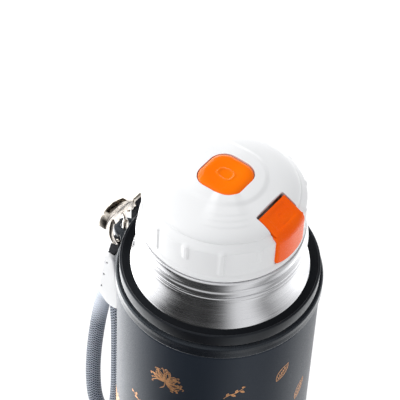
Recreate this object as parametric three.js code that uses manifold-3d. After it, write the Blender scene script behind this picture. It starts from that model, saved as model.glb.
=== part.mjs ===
// A vacuum flask, about three quarters of a litre, with a one-touch stopper.
// A carry strap hangs from a ring that turns round the flask's shoulder.
// Millimetres, +Z up. The origin is the middle of the base, on the surface that the flask stands on.
// -Y is the side of the lock button; the hook and the strap hang at +Y.
import * as THREE from 'three';
import { mergeVertices } from 'three/addons/utils/BufferGeometryUtils.js';
import Module from 'manifold-3d';

const wasm = await Module();
wasm.setup();

// ---- driving dimensions ----
const RIM_Z = 212;            // top of the black collar; most heights are given from here
const BODY_R = 42.7;          // painted body
const BODY_TOP = -12.9;       // shoulder of the body, from the rim
const WALL = 1.0;             // steel sheet of the shells
const RING_R = 43.55;         // strap ring
const NECK_TOP = 24.0;        // mouth of the neck, from the rim
const MOUTH_R = 31.2;         // clear radius of the mouth
const VESSEL_R = 38.9;        // outside of the inner vessel
const CUP_H = 5.3;            // foot cup
const CLEAR = 0.3;            // gap between pieces that meet
const CAP_BOTTOM = 24.4;      // underside of the stopper's lip, from the rim
const CAP_CROWN = 51.2;       // crown of the stopper, from the rim
const BUTTON_W = 20.0;        // open button, square with round corners
const BUTTON_TRAVEL = 3.0;
const LOCK_W = 17.2;          // lock button
const LOCK_TRAVEL = 1.2;
const LOCK_INNER_Y = -22.8;   // the lock button's edge nearest the axis
const SPRING_POST_Y = -9.7;   // post that the lock's spring stands against
const EYE_X = -5.2;           // hole in the strap ring's lug, which the hook passes through
const HOOK_Y = 46.2;          // the hook lies in this plane
const JAW_R = 1.25;           // bar of the hook's jaw
const JAW_BOTTOM = -14.6;     // lowest middle of the jaw's bar, from the rim
const SWIVEL_X = -3.1;        // middle of the barrel that the swivel turns in
const SWIVEL_Z = 1.8;         // height of that barrel, from the rim
const TAB_X = 2.6;            // middle of the swivel's eye and of the pull tab
const GATE_PIVOT = [-9.6, HOOK_Y, 5.0];   // the pin that the gate turns on
const GATE_HOLE_R = 0.75;
const STRAP_X = -9.2;         // the strap's clamp and the top of its loop lie in this plane
const STRAP_D = 7.0;          // woven tubular cord
const CLAMP_TOP = -23.8;      // strap clamp, from the rim
const CLAMP_BOTTOM = -57.0;
const CLAMP_T = 7.6;

// ---- shapes ----
const v2 = (x, y) => new THREE.Vector2(x, y);

/** A body of revolution about +Z from [radius, height] pairs; an open outline starts and ends on the axis. */
function lathe(pairs, segments = 48) {
  const points = pairs.map(([r, z]) => v2(r, z));
  const closesOnAxis = pairs[0][0] === 0 && pairs.at(-1)[0] === 0;
  if (!closesOnAxis) points.push(points[0].clone());
  const area = points.reduce((sum, p, i) => {
    const q = points[(i + 1) % points.length];
    return sum + p.x * q.y - q.x * p.y;
  }, 0);
  if (area < 0) points.reverse();
  return new THREE.LatheGeometry(points, segments).rotateX(Math.PI / 2);
}

/** An arc of [radius, height] pairs round (cr, cz), angles in degrees. */
function arc(cr, cz, radius, from, to, steps = 6) {
  return Array.from({ length: steps + 1 }, (_, i) => {
    const a = THREE.MathUtils.degToRad(from + ((to - from) * i) / steps);
    return [cr + radius * Math.cos(a), cz + radius * Math.sin(a)];
  });
}

/** A rectangle with round corners, w by h, centred on (x, y). */
function roundRect(w, h, r, x = 0, y = 0) {
  const s = new THREE.Shape();
  const [l, b, t, e] = [x - w / 2, y - h / 2, y + h / 2, x + w / 2];
  s.moveTo(l + r, b).lineTo(e - r, b).absarc(e - r, b + r, r, -Math.PI / 2, 0);
  s.lineTo(e, t - r).absarc(e - r, t - r, r, 0, Math.PI / 2);
  s.lineTo(l + r, t).absarc(l + r, t - r, r, Math.PI / 2, Math.PI);
  s.lineTo(l, b + r).absarc(l + r, b + r, r, Math.PI, 1.5 * Math.PI);
  return s;
}

/** A shape pushed up along +Z from z, with an optional small bevel that stays inside its height. */
function prism(shape, z, height, bevel = 0, curveSegments = 6) {
  const options = { depth: height - 2 * bevel, bevelEnabled: bevel > 0, curveSegments };
  Object.assign(options, { bevelSize: bevel, bevelThickness: bevel, bevelOffset: -bevel, bevelSegments: 1 });
  return new THREE.ExtrudeGeometry(shape, options).translate(0, 0, z + bevel);
}

/** A shape drawn in (x, z) and given a thickness along Y, centred on y. */
function plateXZ(shape, y, thickness, bevel = 0, curveSegments = 6) {
  const flat = prism(shape, -thickness / 2, thickness, bevel, curveSegments);
  return flat.rotateX(Math.PI / 2).translate(0, y, 0);
}

/** A shape drawn in (y, z) and given a thickness along X, centred on x. */
function plateYZ(shape, x, thickness, bevel = 0, curveSegments = 6) {
  const flat = prism(shape, -thickness / 2, thickness, bevel, curveSegments);
  return flat.rotateX(Math.PI / 2).rotateZ(Math.PI / 2).translate(x, 0, 0);
}

const polygon = (points) => new THREE.Shape(points.map(([x, y]) => v2(x, y)));

/** A round bar along a curve. */
function bar(curve, radius, steps, sides = 10) {
  const section = new THREE.Shape();
  section.absarc(0, 0, radius, 0, 2 * Math.PI);
  const options = { steps, extrudePath: curve, bevelEnabled: false, curveSegments: sides / 2 };
  return new THREE.ExtrudeGeometry(section, options);
}

const smooth = (points) =>
  new THREE.CatmullRomCurve3(points.map((p) => new THREE.Vector3(...p)), false, 'centripetal');

/** A coil spring standing on z, round the Z axis. */
function coil(radius, wire, z, height, turns) {
  const points = [];
  const steps = turns * 8;
  for (let i = 0; i <= steps; i++) {
    const a = (i / steps) * turns * 2 * Math.PI;
    points.push([radius * Math.cos(a), radius * Math.sin(a), z + wire + ((height - 2 * wire) * i) / steps]);
  }
  return bar(smooth(points), wire, steps, 6);
}

// ---- joining and cutting ----
function solid(geometry) {
  const bare = geometry.clone();
  bare.deleteAttribute('normal');
  bare.deleteAttribute('uv');
  const merged = mergeVertices(bare, 1e-4);
  const vertProperties = new Float32Array(merged.attributes.position.array);
  const corners = merged.index.array;
  const kept = [];
  for (let i = 0; i < corners.length; i += 3) {
    const [a, b, c] = corners.slice(i, i + 3);
    if (a !== b && b !== c && c !== a) kept.push(a, b, c);
  }
  const triVerts = new Uint32Array(kept);
  return new wasm.Manifold(new wasm.Mesh({ numProp: 3, vertProperties, triVerts }));
}

function geometryOf(manifold) {
  const { vertProperties, triVerts } = manifold.getMesh();
  const geometry = new THREE.BufferGeometry();
  geometry.setAttribute('position', new THREE.BufferAttribute(vertProperties, 3));
  geometry.setIndex(new THREE.BufferAttribute(triVerts, 1));
  geometry.computeVertexNormals();
  return geometry;
}

const cut = (base, ...tools) =>
  geometryOf(tools.reduce((left, tool) => left.subtract(solid(tool)), solid(base)));
const join = (...pieces) =>
  geometryOf(pieces.slice(1).reduce((left, piece) => left.add(solid(piece)), solid(pieces[0])));
const drum = (radius, z, height, segments = 24) =>
  lathe([[0, z], [radius, z], [radius, z + height], [0, z + height]], segments);
/** A round pin along X or Y, centred on (x, y, z). */
function pin(axis, radius, length, [x, y, z], segments = 12) {
  const along = new THREE.CylinderGeometry(radius, radius, length, segments);
  if (axis === 'x') along.rotateZ(Math.PI / 2);
  return along.translate(x, y, z);
}

// ---- finishes ----
const finish = (color, roughness, metalness = 0) => ({ color, roughness, metalness });
const NAVY_PAINT = finish(0x262a33, 0.55, 0.3);
const STEEL = finish(0xc9cbcf, 0.28, 1.0);
const BLACK = finish(0x17181b, 0.5);
const WHITE = finish(0xf3f4f4, 0.4);
const ORANGE = finish(0xff6a00, 0.25);
const SILICONE = finish(0xd9dcdd, 0.7);
const NICKEL = finish(0x8d8a86, 0.22, 1.0);
const WEBBING = finish(0x1b1c20, 0.9);
const CORD = finish(0x8894a8, 0.85);

const flask = new THREE.Group();
const rim = new THREE.Group();     // pieces whose heights are given from the collar's top
rim.position.z = RIM_Z;
flask.add(rim);

function piece(group, name, geometry, look) {
  const mesh = new THREE.Mesh(geometry, new THREE.MeshStandardMaterial(look));
  mesh.name = name;
  group.add(mesh);
  return mesh;
}

// ---- the flask: two steel shells with a vacuum between them, a neck, a collar and a foot cup ----
function outerShell() {
  const top = RIM_Z + BODY_TOP;
  const bottom = CUP_H + CLEAR;
  return lathe([
    [BODY_R, bottom], ...arc(BODY_R - 0.8, top - 0.8, 0.8, 0, 90, 3), [38.0, top], [38.0, top - WALL],
    [BODY_R - WALL, top - WALL], [BODY_R - WALL, bottom + WALL], [40.0, bottom + WALL], [40.0, bottom],
  ]);
}

function innerVessel() {
  const mouth = RIM_Z + NECK_TOP;
  const shoulder = RIM_Z - 12;
  const belly = shoulder - 14;
  const floor = 14;
  const inside = VESSEL_R - WALL;
  return lathe([
    [0, floor], [VESSEL_R - 9, floor], ...arc(VESSEL_R - 9, floor + 9, 9, -90, 0, 3).slice(1),
    [VESSEL_R, belly], [MOUTH_R + WALL, shoulder], [MOUTH_R + WALL, mouth], [MOUTH_R, mouth],
    [MOUTH_R, shoulder - 0.6], [inside, belly - 0.6], [inside, floor + 9],
    ...arc(VESSEL_R - 9, floor + 9, 8, 0, -90, 3).slice(1), [0, floor + WALL],
  ]);
}

/** The bare steel neck: a flared foot, a fine line, a rolled bead and a plain band up to the mouth. */
function neck() {
  return lathe([
    [37.7, -14.6], [37.2, -0.3], [36.2, 4.6], [35.5, 9.0], [35.3, 13.4], [35.2, 15.0], [34.8, 15.5],
    [35.4, 16.6], [35.4, 18.2], [34.6, 19.3], [34.7, 22.9], [33.6, NECK_TOP],
    [MOUTH_R + WALL + CLEAR, NECK_TOP], [33.4, 15], [36.1, -1], [36.5, -14.6],
  ]);
}

function flaskPieces() {
  piece(flask, 'outer_shell', outerShell(), NAVY_PAINT);
  piece(flask, 'inner_vessel', innerVessel(), STEEL);
  piece(rim, 'neck', neck(), STEEL);
  const shellFloor = CUP_H + 2 * CLEAR + WALL;
  piece(flask, 'base_plate', lathe([
    [0, shellFloor + 2.2], [22, shellFloor + 2.2], [28, shellFloor], [41.2, shellFloor],
    [41.2, shellFloor + WALL], [28.4, shellFloor + WALL], [22.4, shellFloor + 3.2], [0, shellFloor + 3.2],
  ]), STEEL);
  piece(flask, 'getter', drum(5, shellFloor + 3.2 + CLEAR, 1.5, 16), STEEL);
  piece(flask, 'foot_cup', lathe([
    [0, 0], [BODY_R - 1.6, 0], [BODY_R - 0.4, 0.5], [BODY_R, 1.6], [BODY_R, CUP_H],
    [39.4, CUP_H], [39.4, 2.4], [0, 2.4],
  ]), BLACK);
  piece(rim, 'collar', lathe([
    [37.5, 0], [41.7, 0], [42.0, -0.3], [41.9, -5.7], [41.6, -6.0], [40.2, -6.0], [40.2, -12.6],
    [38.7, -12.6], [38.7, -1.8], [37.5, -1.8],
  ]), BLACK);
  piece(rim, 'collar_seal', lathe([[37.95, -3.4], [38.4, -3.4], [38.4, -2.1], [37.95, -2.1]]), SILICONE);
}

// ---- the strap ring, with the lug that holds the hook ----
function strapRing() {
  const band = lathe([
    [40.5, -6.5], [43.1, -6.5], [RING_R, -6.95], [RING_R, -12.1], [43.2, -12.5], [40.5, -12.5],
  ]);
  const lug = new THREE.Shape();
  lug.moveTo(-14.5, 40.6).lineTo(0.2, 42.4);
  lug.absarc(EYE_X - 0.3, HOOK_Y - 0.7, 5.3, 0, 1.04 * Math.PI).closePath();
  const eye = new THREE.Path();
  eye.absarc(EYE_X, HOOK_Y, 2.1, 0, 2 * Math.PI);
  lug.holes.push(eye);
  const gusset = polygon([[41.5, -11.6], [44.4, -10.7], [44.4, -9], [41.5, -9]]);
  const rib = plateYZ(gusset, 0, 2.4).rotateZ(THREE.MathUtils.degToRad(6));
  const bore = drum(40.5, -14, 10, 48);
  return cut(join(band, prism(lug, -10.9, 2.8, 0.4, 8), rib), bore);
}

// ---- the stopper ----
/** Outline of the stopper's outside: lip, slightly tapered skirt, chamfer and a low crown. */
const CAP_OUTSIDE = [
  [33.3, CAP_BOTTOM], [34.0, 25.0], [34.0, 26.9], [33.4, 27.7], [33.5, 38.6], [32.9, 40.9], [32.3, 41.8],
  [30.4, 43.6], [26.5, 46.3], [21.5, 48.6], [15.0, 50.2], [8.0, 51.0], [0, CAP_CROWN],
];
const CAP_INSIDE = [
  [0, CAP_CROWN - 2.2], [15.0, 48.0], [24.0, 45.0], [29.5, 41.8], [31.2, 38.6], [31.2, CAP_BOTTOM],
];

function cap() {
  const shell = lathe([...CAP_OUTSIDE, ...CAP_INSIDE]);
  const buttonHole = prism(roundRect(BUTTON_W + 0.8, BUTTON_W + 0.8, 5.4), 44, 12);
  const notchBack = LOCK_INNER_Y + LOCK_TRAVEL + CLEAR;
  const notch = prism(roundRect(LOCK_W + 1.6, 20, 1.2, 0, notchBack - 10), 27.9, 30, 0, 3);
  const spout = prism(roundRect(14, 12, 2, 0, 33), 38.0, 3.2, 0, 3);
  return cut(shell, buttonHole, notch, spout);
}

/** The plug that screws into the mouth: a flanged cup with a port in its floor. */
function plug() {
  const thread = [[30.1, 6], [30.8, 7], [30.8, 9], [30.1, 10]];
  return lathe([
    [9.0, -8], [27.6, -8], [27.6, -3.5], [29.0, -3.5], [30.1, -2.4], ...thread, [30.1, CAP_BOTTOM],
    [30.8, CAP_BOTTOM], [30.8, 27.2], [27.4, 27.2], [27.4, -4.6], [26.2, -5.8], [9.0, -5.8],
  ]);
}

/** A perforated disc under the crown: it guides the stem, and its post backs the lock's spring. */
function valveGuide() {
  const disc = lathe([
    [3.6, 31.6], [5.4, 31.6], [5.4, 35.2], [30.3, 35.2], [30.3, 37.2], [5.4, 37.2], [5.4, 38.0], [3.6, 38.0],
  ]);
  const post = new THREE.BoxGeometry(5, 1.6, 4.8).translate(0, SPRING_POST_Y, 39.4);
  const ports = [];
  for (let i = 0; i < 6; i++) {
    const a = ((i + 0.5) / 6) * 2 * Math.PI;
    ports.push(drum(4.2, 34, 5, 12).translate(18 * Math.cos(a), 18 * Math.sin(a), 0));
  }
  return cut(join(disc, post), ...ports);
}

/** The open button: a domed rounded square with a short skirt, which carries the valve stem. */
function openButton() {
  const w = BUTTON_W;
  const head = prism(roundRect(w, w, 5), 46.8, 3.6, 0.5);
  const crown = lathe([[0, 50], [12, 50], [9.8, 50.7], [6, 51.4], [0, 51.8]], 40);
  const trimmed = geometryOf(solid(crown).intersect(solid(prism(roundRect(w - 2, w - 2, 4.4), 49, 4))));
  return join(head, trimmed);
}

/** The lock button wraps over the stopper's shoulder: a sloping top face and a curved face down the skirt. */
function lockButton() {
  const side = polygon([
    [LOCK_INNER_Y, 47.9], [-32.2, 43.9], [-33.6, 43.0], [-34.3, 41.6], [-34.5, 29.4], [-34.1, 28.4],
    [-32.5, 28.4], [-32.5, 40.6], [-31.4, 42.0], [LOCK_INNER_Y, 45.6],
  ]);
  const blank = plateYZ(side, 0, LOCK_W, 0.5);
  const round = lathe([[0, 20], [34.6, 20], [34.6, 60], [0, 60]], 72);
  return geometryOf(solid(blank).intersect(solid(round)));
}

function stopperPieces() {
  piece(rim, 'stopper_cap', cap(), WHITE);
  piece(rim, 'stopper_plug', plug(), WHITE);
  piece(rim, 'plug_seal', lathe([
    [27.9, -7.6], [30.2, -7.0], [30.95, -6.2], [30.2, -5.4], [30.2, -4.6], [28.6, -3.8], [27.9, -3.8],
  ]), SILICONE);
  piece(rim, 'valve_guide', valveGuide(), WHITE);
  piece(rim, 'open_button', openButton(), ORANGE);
  piece(rim, 'valve_stem', lathe([
    [0, -12.9], [3.0, -12.9], [3.0, -12.3], [1.6, -12.3], [1.6, -8.2], [3.0, -8.2], [3.0, 44.0], [6.0, 44.0],
    [6.0, 46.5], [0, 46.5],
  ], 24), WHITE);
  piece(rim, 'valve_disc', lathe([
    [1.9, -11.9], [10.6, -11.2], [11.2, -9.4], [10.8, -8.35], [1.9, -8.6],
  ], 40), SILICONE);
  piece(rim, 'valve_spring', coil(4.6, 0.4, 38.3, 5.4, 3), STEEL);
  piece(rim, 'lock_button', lockButton(), ORANGE);
  piece(rim, 'lock_slider', prism(roundRect(9, 16.0, 1, 0, -23.6), 39.4, 1.6, 0, 3), WHITE);
  const lockSpring = coil(1.3, 0.25, 0, 3.0, 4).rotateX(Math.PI / 2);
  piece(rim, 'lock_spring', lockSpring.translate(0, SPRING_POST_Y - 0.8 - CLEAR, 40.2), STEEL);
}

// ---- the snap hook, its gate and its swivel ----
/** An arched spine, forked round the gate's lever, and a jaw that passes through the ring's lug. */
function hookBody() {
  const spine = polygon([
    [-2.6, 6.6], [-5.0, 8.4], [-8.4, 10.2], [-12.0, 11.2], [-15.4, 11.3], [-18.0, 10.6], [-19.7, 8.8],
    [-20.8, 6.4], [-20.9, 4.2], [-19.7, 4.0], [-18.8, 6.2], [-17.2, 7.2], [-15.4, 5.6], [-14.4, 1.6],
    [-11.6, 1.8], [-10.8, 3.9], [-7.4, 4.2], [-4.6, 2.2], [-2.6, 1.0],
  ]);
  const jaw = smooth([
    [-12.8, 2.6], [-14.4, 0.6], [-15.1, -3.0], [-14.7, -6.8], [-13.3, -10.8], [-11.4, -13.6],
    [-9.2, JAW_BOTTOM], [-7.1, -14.1], [-5.6, -12.4], [EYE_X, -10.3], [EYE_X, -7.5], [EYE_X, -4.9],
  ].map(([x, z]) => [x, HOOK_Y, z]));
  const barrel = pin('x', 1.9, 3.0, [SWIVEL_X, HOOK_Y, SWIVEL_Z], 20);
  const bore = pin('x', 1.25, 4.4, [SWIVEL_X + 0.4, HOOK_Y, SWIVEL_Z]);
  const fork = new THREE.BoxGeometry(11.8, 2.3, 14).translate(-11.5, HOOK_Y, 8.4);
  const plate = cut(plateXZ(spine, HOOK_Y, 3.8, 0.3), fork, pin('y', GATE_HOLE_R, 8, GATE_PIVOT));
  return cut(join(plate, bar(jaw, JAW_R, 26, 10), barrel), bore);
}

/** The sprung gate: a lever in the spine's fork, and a wire that closes the jaw. */
function hookGate() {
  const lever = polygon([
    [-8.2, 6.6], [-15.8, 8.0], [-16.6, 5.8], [-10.8, 4.0], [-9.4, 3.6], [-7.6, 3.8], [-7.4, 5.4],
  ]);
  const wire = smooth([[-9.0, 4.6], [-7.3, 2.6], [-6.1, -0.4], [-5.4, -3.7]].map(([x, z]) => [x, HOOK_Y, z]));
  return cut(join(plateXZ(lever, HOOK_Y, 1.4), bar(wire, 0.8, 8, 8)), pin('y', GATE_HOLE_R, 8, GATE_PIVOT));
}

/** The swivel: a stem turning in the hook's barrel, and an eye for the pull tab. */
function hookSwivel() {
  const eye = roundRect(6.8, 4.6, 1.8, TAB_X, SWIVEL_Z - 0.4);
  eye.holes.push(roundRect(4.6, 2.4, 0.5, TAB_X, SWIVEL_Z - 0.4));
  return join(plateXZ(eye, HOOK_Y, 1.5, 0.3, 3), pin('x', 0.95, 4.0, [SWIVEL_X + 1.2, HOOK_Y, SWIVEL_Z]));
}

/** A band of webbing folded over the swivel's lower bar, hanging outside the collar. */
function pullTab() {
  const z = SWIVEL_Z - 2.15;
  const fold = new THREE.Shape();
  fold.moveTo(-1.6, -11).lineTo(1.6, -11).lineTo(1.75, z).absarc(0, z, 1.75, 0, Math.PI).closePath();
  const inside = new THREE.Path();
  inside.moveTo(-0.3, -5).lineTo(-1.1, z).absarc(0, z, 1.1, Math.PI, 0, true).lineTo(0.3, -5).closePath();
  fold.holes.push(inside);
  return plateYZ(fold, TAB_X, 4.0, 0, 8).translate(0, HOOK_Y, 0);
}

function hookPieces() {
  piece(rim, 'strap_ring', strapRing(), BLACK);
  piece(rim, 'hook_body', hookBody(), NICKEL);
  piece(rim, 'hook_gate', hookGate(), NICKEL);
  piece(rim, 'gate_pin', pin('y', 0.65, 4.2, GATE_PIVOT), NICKEL);
  piece(rim, 'hook_swivel', hookSwivel(), NICKEL);
  piece(rim, 'pull_tab', pullTab(), WEBBING);
}

// ---- the strap: a tab round the jaw, a moulded clamp with three rivets, and a loop of woven cord ----
const TAB_FOOT = { y: 49.4, w: 3.0, z: -26.8 };     // the tab's end, held in the clamp's pocket

function strapTab() {
  const z = JAW_BOTTOM + 0.3;
  const round = new THREE.Shape();
  round.absarc(HOOK_Y, z, 3.0, 0, 2 * Math.PI);
  const hole = new THREE.Shape();
  hole.absarc(HOOK_Y, z, 2.2, 0, 2 * Math.PI);
  const [near, far] = [TAB_FOOT.y - TAB_FOOT.w / 2, TAB_FOOT.y + TAB_FOOT.w / 2];
  const tail = polygon([
    [44.2, -16.2], [near, -23.9], [near, TAB_FOOT.z], [far, TAB_FOOT.z], [far, -22.8], [48.9, -13.6],
  ]);
  const width = 3.0;
  const blank = join(plateYZ(round, STRAP_X, width, 0, 10), plateYZ(tail, STRAP_X, width));
  return cut(blank, plateYZ(hole, STRAP_X, width + 2, 0, 8));
}

/** The rivets on the clamp's broad face: the middle of each, as [y, height from the rim]. */
const RIVETS = [[50.2, -28.6], [51.9, -37.4], [53.2, -46.2]];

/** The clamp: narrow where it holds the tab, wide and cut on a slant where the two strands leave it. */
function strapClamp() {
  const outline = polygon([
    [43.4, CLAMP_BOTTOM], [50.2, CLAMP_BOTTOM], [55.2, -50.8], [52.2, CLAMP_TOP],
    [46.6, CLAMP_TOP], [43.4, -46],
  ]);
  const side = TAB_FOOT.w + 2 * CLEAR;
  const pocket = new THREE.BoxGeometry(side, side, 7).translate(STRAP_X, TAB_FOOT.y, CLAMP_TOP);
  const holes = RIVETS.map(([y, z]) => pin('x', 1.0, 2.4, [STRAP_X - CLAMP_T / 2, y, z]));
  return cut(plateYZ(outline, STRAP_X, CLAMP_T, 1.2), pocket, ...holes);
}

// The loop's middle line: its strands leave the clamp side by side and turn lower down to lie round the body.
const OUTER_STRAND = [
  [0, 54.5, -58.4], [0, 55.9, -66], [0, 58.0, -80], [0, 60.1, -100], [0, 60.9, -120], [0.2, 59.7, -137],
  [2.8, 57.4, -150], [8.4, 54.8, -162], [13.2, 53.0, -172],
];
const INNER_STRAND = [
  [0, 46.9, -59], [0, 46.2, -68], [0, 45.9, -84], [0, 45.9, -102], [-0.3, 45.9, -120], [-1.6, 46.4, -135],
  [-5.4, 48.2, -149], [-10.4, 50.7, -161], [-13.6, 52.2, -172],
];
const BEND = { radius: 14.5, y: 52.6, z: -178 };

function strapRoute() {
  const bend = [];
  for (let i = 0; i <= 8; i++) {
    const a = (-i / 8) * Math.PI;
    bend.push([BEND.radius * Math.cos(a), BEND.y, BEND.z + BEND.radius * Math.sin(a)]);
  }
  const route = [...OUTER_STRAND, ...bend, ...[...INNER_STRAND].reverse()];
  return smooth(route.map(([x, y, z]) => [STRAP_X + x, y, z]));
}

function strapPieces() {
  piece(rim, 'strap_tab', strapTab(), WEBBING);
  piece(rim, 'strap_clamp', strapClamp(), WHITE);
  RIVETS.forEach(([y, z], i) => {
    piece(rim, `clamp_rivet_${i + 1}`, pin('x', 0.65, 1.2, [STRAP_X - CLAMP_T / 2 + 0.2, y, z]), STEEL);
  });
  piece(rim, 'strap_loop', bar(strapRoute(), STRAP_D / 2, 34, 10), CORD);
}

flaskPieces();
stopperPieces();
hookPieces();
strapPieces();
flask.updateMatrixWorld(true);

export default flask;
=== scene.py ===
from math import cos, degrees, exp, hypot, pi, radians, sin, sqrt

import bmesh
import bpy
from mathutils import Matrix, Vector


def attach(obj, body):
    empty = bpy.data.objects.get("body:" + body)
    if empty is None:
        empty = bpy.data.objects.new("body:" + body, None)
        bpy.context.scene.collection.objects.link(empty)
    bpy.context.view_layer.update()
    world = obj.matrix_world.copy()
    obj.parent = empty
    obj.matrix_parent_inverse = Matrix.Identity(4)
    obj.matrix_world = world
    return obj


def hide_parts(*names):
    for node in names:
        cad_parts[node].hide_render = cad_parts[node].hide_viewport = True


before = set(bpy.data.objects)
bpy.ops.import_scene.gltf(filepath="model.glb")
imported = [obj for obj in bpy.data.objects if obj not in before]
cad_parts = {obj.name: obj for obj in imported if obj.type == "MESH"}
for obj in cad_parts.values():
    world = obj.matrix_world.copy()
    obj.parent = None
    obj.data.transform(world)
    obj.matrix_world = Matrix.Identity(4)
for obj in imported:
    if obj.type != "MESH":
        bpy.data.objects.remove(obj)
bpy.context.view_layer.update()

# A vacuum flask with a push-button stopper and a carry strap. Lengths are in millimetres, and meshes
# are scaled to metres as they are made. Heights count from the collar's top edge, RIM_Z above the
# ground; in flask_body they count from the ground itself.
MM = 0.001
TAU = 2 * pi
RIM_Z = 212.0
BODY_R = 42.7
RING_R = 43.55
HOOK_Y = 46.2
EYE_X = -5.2
STRAP_X = -9.2
STRAP_D = 7.0


# ---- camera
CAMERA_ANGLES = (-55.1, 48.06, 3.13)  # azimuth, elevation and roll, in degrees
CAMERA_PLACE = (-9.71, -556.18, 654.1)  # from the rim's middle, before the turn to the azimuth
CAMERA_LENS = 185.76


def new_object(name, data):
    obj = bpy.data.objects.new(name, data)
    bpy.context.collection.objects.link(obj)
    return obj


def make_camera():
    """The photograph's viewpoint, through a long lens."""
    azimuth, elevation, roll = (radians(angle) for angle in CAMERA_ANGLES)
    slant = sin(roll)
    forward = Vector((0, cos(elevation), -sin(elevation)))
    right = Vector((cos(roll), slant * sin(elevation), slant * cos(elevation)))
    up = right.cross(forward)
    turn = Matrix.Rotation(azimuth, 3, "Z")
    rotation = Matrix((turn @ right, turn @ up, turn @ -forward)).transposed()
    place = turn @ Vector(CAMERA_PLACE) + Vector((0, 0, RIM_Z))
    data = bpy.data.cameras.new("camera")
    data.sensor_width = 36
    data.lens = CAMERA_LENS
    data.clip_start, data.clip_end = 0.05, 20
    camera = new_object("camera", data)
    camera.matrix_world = Matrix.Translation(place * MM) @ rotation.to_4x4()
    bpy.context.scene.camera = camera


make_camera()


# ---- mesh helpers
def add_mesh(name, verts, faces, sharp, uvs=None):
    """A mesh object from points in millimetres."""
    mesh = bpy.data.meshes.new(name)
    mesh.from_pydata([Vector(v) * MM for v in verts], [], faces)
    if uvs:
        layer = mesh.uv_layers.new(name="UVMap")
        for corner, uv in zip(layer.data, uvs):
            corner.uv = uv
    obj = new_object(name, mesh)
    shade(obj, sharp)
    return obj


def shade(obj, sharp):
    """Smooth shading, with hard edges where faces meet at more than the sharp angle."""
    work = bmesh.new()
    work.from_mesh(obj.data)
    bmesh.ops.recalc_face_normals(work, faces=work.faces)
    limit = radians(sharp)
    for face in work.faces:
        face.smooth = True
    for edge in work.edges:
        edge.smooth = len(edge.link_faces) == 2 and edge.calc_face_angle(0) < limit
    work.to_mesh(obj.data)
    work.free()


def fillet(points, radius, steps=3, closed=True):
    """The same outline with round corners, apart from open ends and points where x isn't above 0."""
    out = []
    count = len(points)
    for i, here in enumerate(points):
        p = Vector(here)
        before, after = Vector(points[i - 1]), Vector(points[(i + 1) % count])
        kept = p.x < 1e-6
        end = not closed and i in (0, count - 1)
        a, b = before - p, after - p
        if kept or end or a.length < 1e-6 or b.length < 1e-6:
            out.append(tuple(p))
            continue
        reach = min(radius, 0.45 * a.length, 0.45 * b.length)
        a, b = p + a.normalized() * reach, p + b.normalized() * reach
        for k in range(steps + 1):
            t = k / steps
            q = a * (1 - t) ** 2 + p * (2 * t * (1 - t)) + b * t ** 2
            out.append(tuple(q))
    return out


def lathe(name, outline, segments, base=RIM_Z, corner=0.3, shift=None, sharp=35):
    """A body turned round Z from (radius, height) pairs; shift(r, angle, z) may move a point."""
    outline = fillet(outline, corner) if corner else list(outline)
    verts, rings = [], []
    for r, z in outline:
        if r < 1e-6:
            rings.append([len(verts)] * segments)
            verts.append((0, 0, z + base))
            continue
        rings.append(list(range(len(verts), len(verts) + segments)))
        for k in range(segments):
            angle = TAU * k / segments
            rr, zz = shift(r, angle, z) if shift else (r, z)
            verts.append((rr * cos(angle), rr * sin(angle), zz + base))
    faces = []
    for i, ring in enumerate(rings):
        after = rings[(i + 1) % len(rings)]
        if ring[0] == ring[1] and after[0] == after[1]:
            continue
        for k in range(segments):
            n = (k + 1) % segments
            corners = dict.fromkeys((ring[k], ring[n], after[n], after[k]))
            faces.append(list(corners))
    return add_mesh(name, verts, faces, sharp)


def polygon_prism(name, outline, low, high, place=None, corner=0.0, bevel=0.0, steps=2, sharp=35):
    """An outline pushed up from low to high, with round edges; place maps it to the model."""
    outline = fillet(outline, corner, 4) if corner else list(outline)
    count = len(outline)
    layers = [(low, 0.0)]
    if bevel:
        turns = [k / steps * pi / 2 for k in range(steps + 1)]
        layers = [(low + bevel * (1 - cos(a)), bevel * (1 - sin(a))) for a in turns]
    layers += [(low + high - z, inset) for z, inset in reversed(layers)]
    inward = inset_normals(outline)
    verts = []
    for z, inset in layers:
        for (x, y), (nx, ny) in zip(outline, inward):
            point = (x + nx * inset, y + ny * inset, z)
            x3, y3, z3 = place(*point) if place else point
            verts.append((x3, y3, z3 + RIM_Z))
    faces = [list(range(count))[::-1], list(range(len(verts) - count, len(verts)))]
    for layer in range(len(layers) - 1):
        faces += ring_quads(layer * count, (layer + 1) * count, count)
    return add_mesh(name, verts, faces, sharp)


def inset_normals(outline):
    """Unit vectors that point into a closed outline, one at each point."""
    count = len(outline)
    area = sum(a[0] * b[1] - b[0] * a[1] for a, b in zip(outline, [*outline[1:], outline[0]]))
    side = 1 if area > 0 else -1
    normals = []
    for i in range(count):
        a, b = Vector(outline[i - 1]), Vector(outline[(i + 1) % count])
        along = (b - a).normalized()
        normals.append((-along.y * side, along.x * side))
    return normals


def rounded_rect(width, height, r, x=0.0, y=0.0, steps=6):
    """A rectangle's outline round (x, y), with corners of radius r."""
    points = []
    for right, back, start in ((1, 1, 0), (-1, 1, 90), (-1, -1, 180), (1, -1, 270)):
        cx, cy = x + right * (width / 2 - r), y + back * (height / 2 - r)
        for k in range(steps + 1):
            a = radians(start + 90 * k / steps)
            points.append((cx + r * cos(a), cy + r * sin(a)))
    return points


def ring_quads(a, b, count):
    """Faces between the rings of points that start at a and at b."""
    return [[a + k, a + (k + 1) % count, b + (k + 1) % count, b + k] for k in range(count)]


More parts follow.
